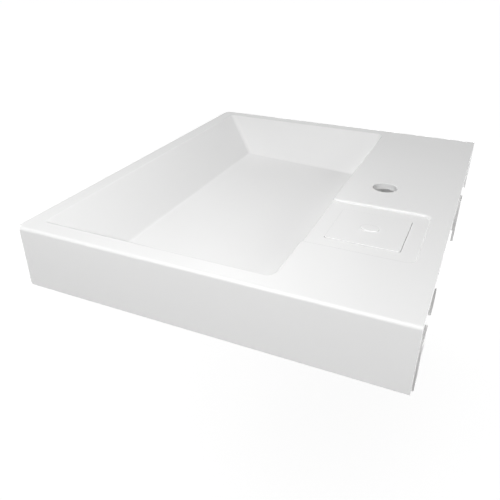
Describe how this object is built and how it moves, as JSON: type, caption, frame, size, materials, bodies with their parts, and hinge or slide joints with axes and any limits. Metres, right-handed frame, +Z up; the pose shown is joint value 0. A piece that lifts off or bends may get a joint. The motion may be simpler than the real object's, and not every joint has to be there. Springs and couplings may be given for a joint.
{
  "type": "washbasin",
  "caption": "Shallow white wall-hung washbasin made to sit over a washing machine, with a rear deck, tap hole, sunken soap shelf with a lift-off plate, wall brackets and rear trap.",
  "frame": {"origin": "on the wall plane, midway across the basin, level with the foot of its skirt", "axes": "+X to the user's right, +Y into the wall, +Z up"},
  "size_m": [0.6, 0.5, 0.2544],
  "materials": {
    "cast_white": "gloss",
    "white_plastic": "satin",
    "seal_rubber": "matte",
    "stainless": "brushed",
    "zinc_steel": "satin",
    "brass": "satin",
    "painted_steel": "satin"
  },
  "bodies": {
    "basin": {"basin_shell": "cast_white", "waste_grid": "stainless", "waste_screw": "stainless", "grid_seal": "seal_rubber", "waste_lower_seal": "seal_rubber", "waste_body": "white_plastic", "waste_nut": "brass", "waste_union_nut": "white_plastic", "union_gasket": "seal_rubber", "inlet_pipe": "white_plastic", "branch_gasket": "seal_rubber", "hose_nut": "white_plastic", "inlet_slip_nut": "white_plastic", "inlet_cone_seal": "seal_rubber", "trap_bend": "white_plastic", "outlet_slip_nut": "white_plastic", "outlet_cone_seal": "seal_rubber", "outlet_pipe": "white_plastic", "left_bracket": "painted_steel", "right_bracket": "painted_steel", "left_bracket_pad": "seal_rubber", "right_bracket_pad": "seal_rubber", "bracket_inserts": "brass", "bracket_washers": "zinc_steel", "bracket_screws": "zinc_steel"},
    "soap_plate": {"soap_plate": "cast_white"},
    "hose_elbow": {"hose_elbow": "white_plastic"},
    "cleanout_seal": {"cleanout_seal": "seal_rubber"},
    "cleanout_cap": {"cleanout_cap": "white_plastic"}
  },
  "joints": [
    {"name": "soap_plate_lift", "type": "slide", "parent": "basin", "child": "soap_plate", "axis": [0, 0, 1], "range_m": [0, 0.06]},
    {"name": "hose_elbow_swivel", "type": "hinge", "parent": "basin", "child": "hose_elbow", "pos_m": [0.1575, -0.09325, -0.05126], "axis": [1, 0, 0], "continuous": true},
    {"name": "cap_travel", "type": "slide", "parent": "basin", "child": "cleanout_seal", "axis": [0, 0, -1], "range_m": [0, 0.0076]},
    {"name": "cap_turn", "type": "hinge", "parent": "cleanout_seal", "child": "cleanout_cap", "pos_m": [0.085, -0.09325, -0.165], "axis": [0, 0, -1], "range_deg": [0, 900]}
  ],
  "couplings": [
    {"joint": "cap_travel", "follows": "cap_turn", "m_per_rad": 0.00047746}
  ]
}
